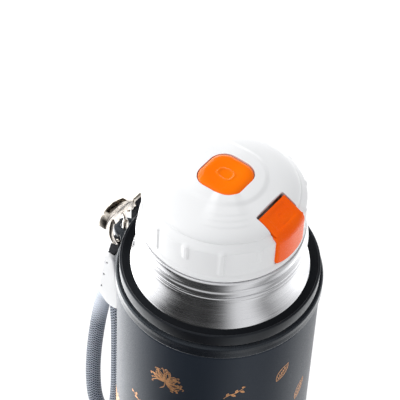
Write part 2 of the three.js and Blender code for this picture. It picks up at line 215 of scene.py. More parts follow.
def tube(name, points, radii, sides, with_uv=False):
    """A closed round tube with a radius for each point; its UVs are turns round it and mm along it."""
    points = [Vector(p) for p in points]
    verts, faces, uvs = [], [], []
    normal = None
    run = distances(points)
    for i, p in enumerate(points):
        tangent = (points[min(i + 1, len(points) - 1)] - points[max(i - 1, 0)]).normalized()
        if normal is None:
            normal = Vector((0, 1, 0)) if abs(tangent.y) < 0.9 else Vector((1, 0, 0))
        normal = (normal - tangent * normal.dot(tangent)).normalized()
        other = tangent.cross(normal)
        for k in range(sides):
            a = TAU * k / sides
            verts.append(p + (normal * cos(a) + other * sin(a)) * radii[i])
    for i in range(len(points) - 1):
        faces += ring_quads(i * sides, (i + 1) * sides, sides)
        for k in range(sides):
            u0, u1 = k / sides, (k + 1) / sides
            uvs += [(u0, run[i]), (u1, run[i]), (u1, run[i + 1]), (u0, run[i + 1])]
    faces.append(list(range(sides))[::-1])
    faces.append(list(range(len(verts) - sides, len(verts))))
    uvs += [(0, 0)] * (2 * sides)
    return add_mesh(name, verts, faces, 50, uvs if with_uv else None)


def distances(points):
    """How far each point is along the line through them."""
    run = [0.0]
    for a, b in zip(points, points[1:]):
        run.append(run[-1] + (b - a).length)
    return run


def smoothstep(low, high, value):
    """0 below low, 1 above high and a smooth rise between them."""
    t = min(1.0, max(0.0, (value - low) / (high - low)))
    return t * t * (3 - 2 * t)


def catmull(points, per_span=6):
    """A smooth line through points."""
    pts = [Vector(p) for p in points]
    pts = [2 * pts[0] - pts[1], *pts, 2 * pts[-1] - pts[-2]]
    line = []
    for i in range(1, len(pts) - 2):
        p0, p1, p2, p3 = pts[i - 1:i + 3]
        for k in range(per_span):
            t = k / per_span
            line.append(0.5 * (2 * p1 + (p2 - p0) * t + (2 * p0 - 5 * p1 + 4 * p2 - p3) * t * t
                               + (3 * p1 - p0 - 3 * p2 + p3) * t ** 3))
    line.append(pts[-2])
    return line


def apply_modifiers(obj):
    """Gives the object the mesh that its modifiers make."""
    graph = bpy.context.evaluated_depsgraph_get()
    mesh = bpy.data.meshes.new_from_object(obj.evaluated_get(graph))
    old = obj.data
    obj.modifiers.clear()
    obj.data = mesh
    bpy.data.meshes.remove(old)


def boolean(obj, tools, operation="DIFFERENCE", sharp=35):
    """Cuts the tools from the object, or joins them to it, and removes them."""
    for tool in tools:
        step = obj.modifiers.new("cut", "BOOLEAN")
        step.operation = operation
        step.solver = "EXACT"
        step.object = tool
        apply_modifiers(obj)
        bpy.data.objects.remove(tool, do_unlink=True)
    shade(obj, sharp)


# ---- the strap's cord, first
OUTER_STRAND = [
    (0, 52.4, -53.8), (0, 53.7, -56.0), (0, 54.7, -59), (0, 55.9, -66), (0, 58.0, -80), (0, 60.1, -100),
    (0, 60.9, -120), (0.2, 59.7, -137), (2.8, 57.4, -150), (8.4, 54.8, -162), (13.2, 53.0, -172)]
INNER_STRAND = [
    (0, 47.0, -55), (0, 46.9, -59), (0, 46.2, -68), (0, 45.9, -84), (0, 45.9, -102), (-0.3, 45.9, -120),
    (-1.6, 46.4, -135), (-5.4, 48.2, -149), (-10.4, 50.7, -161), (-13.6, 52.2, -172)]
BEND_RADIUS, BEND_Y, BEND_Z, BEND_STEPS = 14.5, 52.6, -178.0, 8


def strap_route():
    """Out of the clamp, round a bend at the bottom and back into the clamp beside itself."""
    bend = []
    for i in range(BEND_STEPS + 1):
        a = -i / BEND_STEPS * pi
        bend.append((BEND_RADIUS * cos(a), BEND_Y, BEND_Z + BEND_RADIUS * sin(a)))
    return [(STRAP_X + x, y, RIM_Z + z) for x, y, z in [*OUTER_STRAND, *bend, *reversed(INNER_STRAND)]]


ROUTE = catmull(strap_route(), 5)
SQUEEZED = [2.6, 2.8, 2.95, 3.1, 3.2, 3.3, 3.38, 3.44]  # the radii where the cord leaves the clamp
RADII = [*SQUEEZED, *[STRAP_D / 2] * (len(ROUTE) - 2 * len(SQUEEZED)), *reversed(SQUEEZED)]
strap_loop = tube("strap_cord", ROUTE, RADII, 24, with_uv=True)
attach(strap_loop, "strap")
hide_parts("strap_loop")


# ---- materials
class Nodes:
    """A node tree, with short names for its common nodes."""

    def __init__(self, tree):
        self.tree = tree

    def node(self, kind, **values):
        made = self.tree.nodes.new(kind)
        for key, value in values.items():
            if key in made.inputs:
                made.inputs[key].default_value = value
            else:
                setattr(made, key, value)
        return made

    def link(self, source, target):
        self.tree.links.new(source, target)

    def math(self, operation, *values):
        made = self.node("ShaderNodeMath", operation=operation)
        for value, socket in zip(values, made.inputs):
            if isinstance(value, (int, float)):
                socket.default_value = value
            else:
                self.link(value, socket)
        return made.outputs[0]

    def plus(self, a, b):
        return self.math("ADD", a, b)

    def times(self, a, b):
        return self.math("MULTIPLY", a, b)

    def place(self, space="Object"):
        return self.node("ShaderNodeTexCoord").outputs[space]

    def axes(self, vector):
        """The X, Y and Z parts of a vector."""
        made = self.node("ShaderNodeSeparateXYZ")
        self.link(vector, made.inputs[0])
        return [made.outputs[axis] for axis in "XYZ"]

    def noise(self, scale, detail, vector=None):
        made = self.node("ShaderNodeTexNoise", Scale=scale, Detail=detail)
        self.link(vector if vector else self.place(), made.inputs["Vector"])
        return made.outputs["Fac"]

    def ramp(self, value, low, high, out_low=0.0, out_high=1.0):
        limits = {"From Min": low, "From Max": high, "To Min": out_low, "To Max": out_high}
        made = self.node("ShaderNodeMapRange", **limits)
        self.link(value, made.inputs["Value"])
        return made.outputs["Result"]

    def colours(self, value, *stops):
        made = self.node("ShaderNodeValToRGB")
        ramp = made.color_ramp
        while len(ramp.elements) < len(stops):
            ramp.elements.new(0.5)
        for element, (position, color) in zip(ramp.elements, stops):
            element.position = position
            element.color = (*color, 1)
        self.link(value, made.inputs["Fac"])
        return made.outputs["Color"]


class Look(Nodes):
    """A material for one of the record's slots; its shader takes colour, roughness and bump."""

    def __init__(self, name, slot, color, roughness, metallic=0.0, **sockets):
        self.slot = slot
        self.material = bpy.data.materials.new(name)
        self.material.use_nodes = True
        super().__init__(self.material.node_tree)
        self.shader = self.tree.nodes["Principled BSDF"]
        self.shader.inputs["Base Color"].default_value = (*color, 1)
        self.shader.inputs["Roughness"].default_value = roughness
        self.shader.inputs["Metallic"].default_value = metallic
        for socket, value in sockets.items():
            self.shader.inputs[socket.replace("_", " ")].default_value = value

    def color(self, value, *stops):
        self.link(self.colours(value, *stops), self.shader.inputs["Base Color"])

    def roughness(self, value, low, high, out_low, out_high):
        self.link(self.ramp(value, low, high, out_low, out_high), self.shader.inputs["Roughness"])

    def bump(self, height, strength, distance):
        made = self.node("ShaderNodeBump", Strength=strength, Distance=distance)
        self.link(height, made.inputs["Height"])
        self.link(made.outputs["Normal"], self.shader.inputs["Normal"])


def turned(look, around, up):
    """Coordinates for marks left by turning: the angle times around, the height and radius times up."""
    x, y, z = look.axes(look.place())
    radius = look.math("POWER", look.plus(look.times(x, x), look.times(y, y)), 0.5)
    parts = (look.times(look.math("ARCTAN2", y, x), around), look.times(z, up), look.times(radius, up))
    joined = look.node("ShaderNodeCombineXYZ")
    for part, socket in zip(parts, joined.inputs):
        look.link(part, socket)
    return joined.outputs[0]


def paint():
    """Matt navy powder coat."""
    look = Look("body_paint", "body_paint", (0.012, 0.016, 0.023), 0.42,
                Specular_IOR_Level=0.36, Specular_Tint=(0.78, 0.88, 1.0, 1))
    grain = look.noise(2600, 2)
    cloud = look.noise(22, 3)
    look.color(cloud, (0.3, (0.0095, 0.0145, 0.0235)), (0.7, (0.0125, 0.018, 0.029)))
    look.roughness(grain, 0.35, 0.65, 0.36, 0.5)
    look.bump(grain, 0.22, 0.00006)
    return look


def brushed_steel():
    """Steel with fine and broad bands round it."""
    look = Look("steel", "steel", (0.72, 0.72, 0.73), 0.25, 1.0)
    lines = look.noise(1.0, 4, turned(look, 3.0, 5200.0))
    broad = look.noise(1.0, 2, turned(look, 1.2, 420.0))
    both = look.plus(look.times(lines, 0.65), look.times(broad, 0.35))
    look.roughness(both, 0.3, 0.7, 0.16, 0.34)
    look.color(both, (0.3, (0.60, 0.60, 0.62)), (0.7, (0.80, 0.80, 0.81)))
    look.bump(lines, 0.12, 0.00003)
    return look


def black_plastic(name, color, rough, shine, scale):
    """Grained polypropylene, a little lighter where it is worn."""
    look = Look(name, "black_plastic", color, 0.42,
                Specular_IOR_Level=shine, Specular_Tint=(0.84, 0.93, 1.0, 1))
    grain = look.noise(scale, 2)
    look.color(look.noise(60, 4), (0.35, color), (0.75, tuple(c * 1.7 for c in color)))
    look.roughness(grain, 0.3, 0.7, *rough)
    look.bump(grain, 0.35, 0.00005)
    return look


def white_plastic(name, color):
    """Satin polypropylene that lets a little light in."""
    look = Look(name, "white_plastic", color, 0.34,
                Subsurface_Weight=0.08, Subsurface_Radius=(0.002,) * 3)
    grain = look.noise(1500, 2)
    look.color(look.noise(35, 2), (0.3, tuple(0.97 * c for c in color)), (0.7, color))
    look.roughness(grain, 0.3, 0.7, 0.28, 0.42)
    look.bump(grain, 0.12, 0.00004)
    return look


def orange_plastic(name, color, rough, shine):
    """Glossy plastic with faint clouds of a yellower orange."""
    look = Look(name, "orange_plastic", color, 0.15, Specular_IOR_Level=shine)
    fine = look.noise(900, 2)
    look.color(look.noise(90, 3), (0.3, color), (0.7, (color[0], color[1] * 1.18, color[2])))
    look.roughness(fine, 0.3, 0.7, *rough)
    look.bump(fine, 0.05, 0.00004)
    return look


def silicone():
    """Cloudy white silicone."""
    look = Look("silicone", "seal", (0.72, 0.74, 0.75), 0.5,
                Subsurface_Weight=0.3, Subsurface_Radius=(0.003,) * 3)
    grain = look.noise(800, 3)
    look.color(grain, (0.3, (0.66, 0.68, 0.69)), (0.7, (0.76, 0.78, 0.79)))
    look.roughness(grain, 0.3, 0.7, 0.42, 0.6)
    look.bump(grain, 0.1, 0.00004)
    return look


def dark_nickel():
    """Polished plating in two tones."""
    low, high = (0.30, 0.275, 0.25), (0.66, 0.60, 0.52)
    look = Look("hook_metal", "hook_metal", low, 0.16, 1.0)
    wear = look.noise(420, 4)
    look.color(wear, (0.35, low), (0.7, high))
    look.roughness(wear, 0.3, 0.7, 0.10, 0.26)
    look.bump(look.noise(2400, 2), 0.08, 0.00004)
    return look


def webbing():
    """Black woven tape: fine ribs one way crossed by a plain weave."""
    look = Look("webbing", "webbing", (0.02, 0.02, 0.023), 0.85,
                Specular_IOR_Level=0.2, Sheen_Weight=0.08, Sheen_Roughness=0.4)
    x, y, z = look.axes(look.place())
    warp = look.math("SINE", look.times(x, 9000))
    weft = look.math("SINE", look.times(look.plus(z, y), 7000))
    weave = look.times(warp, weft)
    look.color(look.ramp(weave, -1, 1), (0.2, (0.006, 0.006, 0.008)), (0.9, (0.026, 0.028, 0.034)))
    look.roughness(look.noise(900, 2), 0.3, 0.7, 0.75, 0.95)
    look.bump(weave, 0.6, 0.00012)
    return look


YARNS = 11  # pale yarns round the cord, each way
YARN_PITCH = 1.8  # mm along the cord from one crossing to the next
WHOLE_TURNS = 400.0  # keeps a yarn's count above 0 where its fraction is taken


def woven_cord():
    """Tubular cord: pale yarns cross in a net of diamonds over navy ones; near the clamp the weave gives
    way to a flat pale blue-grey, a painted highlight.
    """
    look = Look("cord_weave", "cord", (0.1, 0.13, 0.2), 0.8, Sheen_Weight=0.25, Sheen_Roughness=0.4)
    turns, length, _ = look.axes(look.node("ShaderNodeUVMap").outputs["UV"])
    around = look.times(turns, YARNS)
    along = look.math("DIVIDE", length, YARN_PITCH)

    def yarn(count):
        """Distance from the middle of a yarn, 0 to 0.5, for yarns that slant one way."""
        part = look.math("FRACT", look.plus(count, WHOLE_TURNS))
        return look.math("ABSOLUTE", look.math("SUBTRACT", part, 0.5))

    right, left = look.plus(around, along), look.math("SUBTRACT", around, along)
    net = look.math("MAXIMUM", yarn(right), yarn(left))
    fray = look.noise(1600, 3)
    mixed = look.plus(net, look.ramp(fray, 0.3, 0.7, -0.05, 0.05))
    dark, pale = (0.016, 0.024, 0.045), (0.50, 0.55, 0.63)
    woven = look.colours(look.ramp(mixed, 0.30, 0.46), (0.15, dark), (0.95, pale))
    # Near the clamp the colour is mixed towards a flat pale blue-grey: a painted highlight.
    mix = look.node("ShaderNodeMix", data_type="RGBA")
    factor, first, painted_highlight = mix.inputs[0], mix.inputs[6], mix.inputs[7]
    look.link(look.times(look.ramp(length, 7.0, 24.0, 1.0, 0.0), 0.8), factor)
    look.link(woven, first)
    painted_highlight.default_value = (0.72, 0.77, 0.86, 1)
    look.link(mix.outputs[2], look.shader.inputs["Base Color"])
    look.roughness(fray, 0.3, 0.7, 0.7, 0.9)
    look.bump(net, 0.8, 0.00025)
    return look


def gold_print():
    """Copper-coloured metallic ink."""
    look = Look("gold_print", "body_paint", (0.80, 0.40, 0.17), 0.36, 0.85)
    grain = look.noise(1300, 3)
    look.color(grain, (0.3, (0.62, 0.28, 0.11)), (0.7, (0.95, 0.52, 0.25)))
    look.roughness(grain, 0.3, 0.7, 0.28, 0.5)
    return look


PAINT = paint()
STEEL = brushed_steel()
BLACK = black_plastic("black_plastic", (0.0055, 0.0062, 0.0085), (0.3, 0.42), 0.3, 1900)
BLACK_RING = black_plastic("black_ring", (0.006, 0.0075, 0.011), (0.24, 0.36), 0.4, 1900)
BLACK_MATTE = black_plastic("black_matte", (0.004, 0.0045, 0.006), (0.55, 0.75), 0.12, 1300)
WHITE = white_plastic("white_plastic", (0.86, 0.865, 0.87))
# The clamp gets the cap's white plastic painted lighter: a painted highlight for the strongly lit clamp.
CLAMP_WHITE_PAINTED_LIGHT = white_plastic("white_clamp_painted_light", (0.95, 0.955, 0.96))
ORANGE = orange_plastic("orange_plastic", (1.0, 0.168, 0.0), (0.10, 0.15), 0.18)
ORANGE_DEEP = orange_plastic("orange_deep", (1.0, 0.11, 0.0), (0.2, 0.3), 0.12)
SILICONE = silicone()
NICKEL = dark_nickel()
WEBBING = webbing()
CORD = woven_cord()
GOLD = gold_print()


def dress(obj, look, body, node=None):
    """Gives a piece its finish and its body, and lets it stand for a CAD node."""
    obj.data.materials.clear()
    obj.data.materials.append(look.material)
    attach(obj, body)
    if node:
        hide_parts(node)


strap_loop.data.materials.append(CORD.material)


# ---- the flask's body
def flask_body():
    """The painted shell, the black foot and the vessel for the drink, in heights from the ground."""
    top, bottom, wall = 199.1, 5.6, 1.0
    outer = lathe("body_shell", [
        (BODY_R, bottom), (BODY_R, top - 0.9), (BODY_R - 0.9, top), (38, top), (38, top - wall),
        (BODY_R - wall, top - wall), (BODY_R - wall, bottom + wall), (40, bottom + wall), (40, bottom)],
        192, base=0, corner=0.5)
    dress(outer, PAINT, "flask", "outer_shell")
    cup = lathe("foot", [
        (0, 0), (41, 0), (42.3, 0.5), (BODY_R, 1.6), (BODY_R, 5.3), (39.4, 5.3), (39.4, 2.4), (0, 2.4)],
        160, base=0, corner=0.35)
    dress(cup, BLACK, "flask", "foot_cup")
    inner = lathe("vessel", [
        (0, 14), (29.9, 14), (34.5, 15.2), (37.7, 18.5), (38.9, 23), (38.9, 186), (32.2, 200), (32.2, 236),
        (31.2, 236), (31.2, 199.4), (37.9, 185.4), (37.9, 23), (36.9, 19), (34, 16), (29.9, 15), (0, 15)],
        160, base=0, corner=0.4)
    dress(inner, STEEL, "flask", "inner_vessel")


def neck():
    """Bare steel: a flared foot inside the collar, the bead that stands for the thread, and a lip."""
    flare = [(37.35, -14.6), (37.42, -1.2), (37.42, -0.5), (37.3, 0), (37, 0.7), (36.7, 1.5),
             (36.4, 2.6), (36.12, 4), (35.88, 5.6), (35.66, 7.6), (35.5, 9.8), (35.38, 12)]
    beads = [(35.3, 13.2), (35, 13.8), (35.3, 14.4), (35.2, 15), (34.7, 15.5), (35.15, 16.2),
             (35.5, 17.3), (35.2, 18.5), (34.5, 19.3), (34.55, 20), (34.75, 20.6)]
    lip = [(34.7, 23), (34.3, 23.7), (33.6, 24), (32.5, 24)]
    inside = [(33.4, 15), (36.1, -1), (36.5, -14.6)]
    steel = lathe("neck_steel", [*flare, *beads, *lip, *inside], 224, corner=0.35)
    dress(steel, STEEL, "flask", "neck")


def collar():
    """A black ring round the neck's foot, matt on the faces that meet the steel."""
    black = lathe("collar_ring", [
        (37.5, -0.35), (40.9, -0.35), (41.15, 0), (41.75, 0), (42, -0.3), (41.9, -5.7), (41.6, -6),
        (40.2, -6), (40.2, -12.6), (38.7, -12.6), (38.7, -1.8), (37.5, -1.8)], 192, corner=0.22)
    dress(black, BLACK, "flask", "collar")
    black.data.materials.append(BLACK_MATTE.material)
    matt_radius, matt_depth = 40.95, 2
    for face in black.data.polygons:
        middle = face.center / MM
        if hypot(middle.x, middle.y) < matt_radius and middle.z > RIM_Z - matt_depth:
            face.material_index = 1


flask_body()
neck()
collar()


# ---- the drawings on the paint
PROUD, SUNK = 0.045, -0.02  # the ink's outside and inside, from the paint's surface


class Print:
    """Thin metallic lines on the body, drawn in millimetres round it and up it."""

    def __init__(self):
        self.verts, self.faces = [], []

    def line(self, points, width, per_span):
        """One line, thinner towards its ends, that stands a little proud of the paint."""
        path = catmull([(x, y, 0) for x, y in points], per_span)
        last = len(path) - 1
        start = len(self.verts)
        for i, p in enumerate(path):
            along = (path[min(i + 1, last)] - path[max(i - 1, 0)]).normalized()
            half = width / 2 * (0.35 + 0.65 * sin(pi * min(1, (i + 0.6) / (last + 1.2))))
            side = Vector((-along.y, along.x, 0)) * half
            left, right = p + side, p - side
            for edge, proud in ((left, PROUD), (right, PROUD), (right, SUNK), (left, SUNK)):
                angle, radius = edge.x / BODY_R, BODY_R + proud
                self.verts.append((radius * cos(angle), radius * sin(angle), edge.y + RIM_Z))
        for i in range(last):
            self.faces += ring_quads(start + 4 * i, start + 4 * i + 4, 4)
        self.faces.append([start + 3, start + 2, start + 1, start])
        end = start + 4 * last
        self.faces.append([end, end + 1, end + 2, end + 3])


class Drawing:
    """A place on the sheet, where lines are turned and made as large as size."""

    def __init__(self, sheet, x, y, turn, size):
        self.sheet, self.x, self.y, self.turn, self.size = sheet, x, y, turn, size

    def at(self, u, v):
        c, q = cos(self.turn), sin(self.turn)
        u, v = u * self.size, v * self.size
        return self.x + c * u - q * v, self.y + q * u + c * v

    def line(self, points, width, per_span):
        self.sheet.line([self.at(u, v) for u, v in points], width, per_span)


def burst(sheet, x, y, size, turn):
    """A flower seen from the side, with many long curling rays."""
    rays, stamens = 36, 7
    for k in range(rays):
        share = k / (rays - 1)
        angle = turn + radians(-118 + 236 * share) + 0.08 * sin(7.3 * k)
        length = size * (0.72 + 0.28 * sin(pi * share) + 0.10 * sin(4.1 * k + 0.6))
        bend = 0.42 * sin(2.6 * k + 1.1)
        tip = (cos(bend), sin(bend))
        curl = (tip[0] - 0.10, tip[1] + (0.09 if bend > 0 else -0.09))
        ray = [(0.10, 0), (0.55, 0.10 * tip[1]), tip, curl]
        Drawing(sheet, x, y, angle, length).line(ray, 0.42, 4)
    for k in range(stamens):
        stamen = Drawing(sheet, x, y, turn + radians(-60 + 20 * k), size)
        stamen.line([(0, 0), (0.16, 0.03), (0.30, 0)], 0.42, 3)
    Drawing(sheet, x, y, turn, size).line([(0, 0), (-0.35, -0.10), (-0.7, 0.02)], 0.4, 5)


def sprig(sheet, x, y, size, turn):
    """A curved stem with outlined leaves on its two sides in turn, and a bud at its end."""
    stem = Drawing(sheet, x, y, turn, size)
    end = (1, 0.34)
    stem.line([(-1, -0.22), (-0.4, 0.04), (0.25, 0.05), end], 0.36, 7)
    for k in range(4):
        at = -0.62 + 1.3 * k / 3
        side = 1 if k % 2 == 0 else -1
        leaf(sheet, *stem.at(at, 0.02 + 0.10 * at), 0.46 * size, turn + side * 0.95, 1)
    for k in range(4):
        bud = Drawing(sheet, *stem.at(*end), turn + 0.25 + k * 0.42, size)
        bud.line([(0, 0), (0.16, 0.04), (0.26, -0.02)], 0.3, 3)


def leaf(sheet, x, y, size, turn, veins=5):
    """An outlined pointed leaf with a midrib and slanted veins."""
    drawing = Drawing(sheet, x, y, turn, size)
    upper = [(0, 0), (0.28, 0.20), (0.66, 0.20), (1, 0)]
    drawing.line(upper, 0.34, 5)
    drawing.line([(u, -0.85 * v) for u, v in upper], 0.34, 5)
    drawing.line([(0, 0), (0.5, 0.015), (0.94, 0)], 0.28, 5)
    for k in range(veins):
        at = 0.16 + 0.62 * k / veins
        reach = 0.15 * (1 - 0.10 * k)
        for side in (1, -1):
            drawing.line([(at, 0), (at + 0.07, 0.6 * side * reach), (at + 0.12, side * reach)], 0.24, 2)


# Where each drawing is: degrees round the body, height from the rim, size and slant.
FLOWERS = [
    (-173.5, -38, 8.2, 1.2), (-28, -62, 8.6, 1.9), (64, -44, 8, 0.9), (-118, -98, 8.4, 1.5),
    (140, -92, 8.2, 2), (10, -128, 8.6, 1.1), (-75, -150, 8.2, 1.8), (-168, -158, 8.4, 1.3),
    (88, -160, 8, 1.6)]
SPRIGS = [
    (-133.5, -38, 4.8, 0.35), (-192, -63, 4.4, 2.2), (-150, -78, 6, 0.9), (-52, -102, 6.2, 0.4),
    (30, -84, 6, 1.1), (104, -118, 6.2, 0.5), (-20, -172, 6, 0.9), (-128, -178, 5.8, 0.3),
    (-178, -118, 6.2, 2.4), (46, -176, 6, 2.3), (128, -182, 5.4, 0.6), (-2, -34, 5, 2.5)]
LEAVES = [
    (-107, -38.6, 10.4, 0.95), (-88.6, -63.4, 11.5, 1.05), (-82, -84, 9, 2.2), (-160, -102, 9.5, 1.9),
    (-40, -36, 9, 1.3), (40, -56, 9.2, 2.2), (106, -70, 10, 1), (-100, -126, 9.4, 1.2),
    (-10, -100, 9.4, 0.8), (70, -134, 9.6, 1.8), (158, -132, 9.2, 1.1), (-52, -134, 9, 2),
    (-150, -136, 9, 0.9), (170, -176, 9.2, 1.7), (4, -158, 8.8, 2.1)]


def metallic_print():
    """Flowers, sprigs and leaves, spread over the body as one piece."""
    sheet = Print()
    around = radians(1) * BODY_R
    for draw, places in ((burst, FLOWERS), (sprig, SPRIGS), (leaf, LEAVES)):
        for angle, height, size, turn in places:
            draw(sheet, angle * around, height, size, turn)
    drawn = add_mesh("metallic_print", sheet.verts, sheet.faces, 60)
    dress(drawn, GOLD, "flask")


metallic_print()


# ---- the strap ring
def strap_ring():
    """A band that turns in the collar's groove, with a lug and a gusset for the hook's eye."""
    band = lathe("ring_band", [
        (40.5, -6.5), (42.9, -6.5), (RING_R, -7.1), (43.4, -9.3), (RING_R, -11.8), (43.1, -12.5),
        (40.5, -12.5)], 192, corner=0.25)
    centre, radius, steps = (EYE_X - 0.3, HOOK_Y - 0.7), 5.3, 24
    outline = [(-14.5, 40.6), (0.2, 42.4)]
    for k in range(steps + 1):
        a = k / steps * 1.04 * pi
        outline.append((centre[0] + radius * cos(a), centre[1] + radius * sin(a)))
    lug = polygon_prism("lug", outline, -10.9, -8.1, bevel=0.5)
    turn = radians(6)

    def gusset_place(x, z, t):
        return (-x * sin(turn) + t * cos(turn), x * cos(turn) + t * sin(turn), z)

    gusset = polygon_prism("gusset", [
        (41.5, -11.6), (44.4, -10.7), (44.4, -9), (41.5, -9)], -1.2, 1.2, gusset_place)
    boolean(band, [lug, gusset], "UNION")
    bore = lathe("bore", [(0, -15), (40.5, -15), (40.5, -5), (0, -5)], 192, corner=0)
    eye = lathe("eye", [(0, -15), (2.1, -15), (2.1, -5), (0, -5)], 40, corner=0)
    eye.data.transform(Matrix.Translation((EYE_X * MM, HOOK_Y * MM, 0)))
    boolean(band, [bore, eye])
    band.name = "ring"
    dress(band, BLACK_RING, "ring", "strap_ring")


strap_ring()


# ---- the stopper
GRIPS = 14
GRIP_START = -145.0  # degrees
SKIRT_R, SKIRT_FOOT, SKIRT_TOP = 33.45, 27.8, 40.8
CROWN_R, CROWN_FOOT, CROWN_HEIGHT = 30.5, 43.5, 7.7
CROWN_STEPS = 84
PLATEAU_X = 0.6
STEP_RADII = (20.6, 23.0, 25.4)
STEPS_FACE = -142  # degrees


def crown_shift(r, angle, z):
    """A raised plateau round the open button, and three fine steps in front of it."""
    x, y = r * cos(angle) - PLATEAU_X, r * sin(angle)
    rise = 1 - smoothstep(15.2, 17.4, abs(x) if y > 0 else hypot(x, y))
    fade = 1 - smoothstep(0, 15, y)
    front = 1 - smoothstep(12, 30, abs((degrees(angle) - STEPS_FACE + 180) % 360 - 180))
    steps = sum(0.2 * (1 - smoothstep(edge - 0.35, edge + 0.35, r)) for edge in STEP_RADII)
    return r, z + 0.55 * rise * fade + steps * front


def skirt_shift(r, angle, z):
    """Long and short grips, in turn, down the skirt."""
    turn = (degrees(angle) - GRIP_START) / (360 / GRIPS)
    index = round(turn)
    off = abs(turn - index) * (360 / GRIPS) * pi / 180 * r
    reach = smoothstep(28.2, 29.2, z) if index % 2 == 0 else smoothstep(33.2, 34.6, z)
    rib = 1 - smoothstep(0.75, 1.35, off)
    return r - 0.10 + 0.55 * rib * reach * (1 - smoothstep(40.6, 42.0, z)), z


def cap_shift(r, angle, z):
    """Where a point of the cap's plain turned form goes."""
    if z > 43.5 and r < 30.2:
        return crown_shift(r, angle, z)
    if z < 42.2 and r > 32.8:
        return skirt_shift(r, angle, z)
    return r, z


def stopper_cap():
    """The white cap: skirt and domed crown, cut for the two buttons and the spout."""
    crown = []
    for k in range(CROWN_STEPS, 0, -1):
        t = k / CROWN_STEPS * pi / 2
        rise = cos(t) ** (2 / 1.85)
        crown.append((CROWN_R * sin(t), CROWN_FOOT + CROWN_HEIGHT * rise))
    crown.append((0, CROWN_FOOT + CROWN_HEIGHT))
    skirt = [(SKIRT_R, SKIRT_FOOT + (SKIRT_TOP - SKIRT_FOOT) * k / 26) for k in range(27)]
    foot = [(33.2, 24.4), (33.8, 24.5), (34, 24.9), (34, 26.7), (33.8, 27.2)]
    shoulder = [(33.2, 41.2), (32.6, 41.75), (32, 42.2), (31.4, 42.9), (30.9, 43.3)]
    inside = [(0, 49), (15, 48), (24, 45), (29.5, 41.8), (31.2, 38.6), (31.2, 24.4)]
    outline = [*foot, *skirt, *shoulder, *crown, *inside]
    cap = lathe("cap", outline, 336, corner=0, shift=cap_shift, sharp=42)
    hole = polygon_prism("hole", rounded_rect(20.5, 20.5, 6.85, steps=14), 44, 56)
    notch = polygon_prism("notch", rounded_rect(17.9, 20.1, 0.7, 0, -31.5), 27.9, 56)
    undercut = polygon_prism("undercut", rounded_rect(17.9, 6, 0.7, 0, -22), 40, 47.4)
    spout = polygon_prism("spout", rounded_rect(14, 12, 2, 0, 33), 38.0, 41.2)
    boolean(cap, [hole, notch, undercut, spout], sharp=32)
    dress(cap, WHITE, "stopper", "stopper_cap")


def open_button_height(share, x, y):
    """Its top: a round edge, a shallow dish and a raised drop in the middle."""
    edge = 1.8 * (1 - share ** 6) ** 0.5
    dish = 0.75 * exp(-((x * x + y * y) / 52.0))
    drop = hypot(x, (y + 0.6) * (0.85 if y < 0 else 0.62))
    symbol = 0.28 * exp(-(((drop - 2.7) / 0.36) ** 2))
    return RIM_Z + 50.15 + edge + symbol - dish


def open_button():
    """Rings of the button's outline, from its foot and over its edge to the middle."""
    rings = 44
    base = rounded_rect(20, 20, 6.6, steps=14)
    count = len(base)
    verts = [(x, y, RIM_Z + 46.8) for x, y in base]
    for level in range(rings):
        share = 1 - level / rings
        for x, y in base:
            verts.append((x * share, y * share, open_button_height(share, x * share, y * share)))
    verts.append((0, 0, open_button_height(0.0, 0, 0)))
    faces = []
    for level in range(rings):
        faces += ring_quads(level * count, (level + 1) * count, count)
    last = rings * count
    for k in range(count):
        faces.append([last + k, last + (k + 1) % count, len(verts) - 1])
    faces.append(list(range(count))[::-1])
    button = add_mesh("push_button", verts, faces, 40)
    dress(button, ORANGE, "open_press_body", "open_button")


LOCK_HALF, LOCK_TOP = 8.6, 10.4  # half the lock button's width, and its sloping top's length
LOCK_FACE_R = 34.5
LOCK_ACROSS, LOCK_ALONG = 56, 60  # how finely it is divided


def lock_path():
    """The lock button from the side, as (y, height), and the distance along it at each point."""
    path = [(-22.8, 47.95), (-32, 43.95), (-33.35, 43.05), (-34.15, 41.8), (-34.4, 40.4), (-34.45, 29.4)]
    path = [Vector(p) for p in fillet(path, 0.9, 5, closed=False)]
    return path, distances(path)


def on_path(path, run, distance):
    """The point of a path at a distance along it."""
    i = 0
    while i < len(path) - 2 and distance > run[i + 1]:
        i += 1
    t = (distance - run[i]) / (run[i + 1] - run[i])
    return path[i].lerp(path[i + 1], t)


def lock_point(middle, distance, length, t):
    """A point of its outside, t from -1 to 1 across: a sunk panel on top, a round lower end."""
    down = smoothstep(LOCK_TOP - 1.0, LOCK_TOP + 2.5, distance)
    x = t * (LOCK_HALF + 0.55 * down)
    y = middle.x + (LOCK_FACE_R - sqrt(LOCK_FACE_R ** 2 - x * x)) * down
    z = middle.y - 1.15 * smoothstep(length - 4.5, length, distance) * (1 - abs(t) ** 2.6)
    sink = 0.45 * (max(0.0, (abs(t) - 0.93) / 0.07)) ** 2
    panel = (1 - smoothstep(5.4, 5.8, abs(x))) * smoothstep(1.6, 2.0, distance)
    panel *= 1 - smoothstep(8.6, 9.0, distance)
    lift = -0.22 * panel + 0.16 * lock_symbol(x, distance) - sink
    normal = Vector((0, -0.4, 0.92)) if distance < LOCK_TOP else Vector((0, -1, 0))
    return Vector((x, y, z + RIM_Z)) + normal * lift


def lock_symbol(x, distance):
    """A plain closed-padlock sign: a block and a bow, as 1 inside its lines and 0 outside."""
    v = distance - 6.0
    block = max(abs(x) - 2.1, abs(v - 0.7) - 1.4)
    bow = abs(hypot(x, v + 0.9) - 1.45) - 0.28 if v < -0.6 else 9
    return 1 - smoothstep(-0.08, 0.14, min(block, bow))


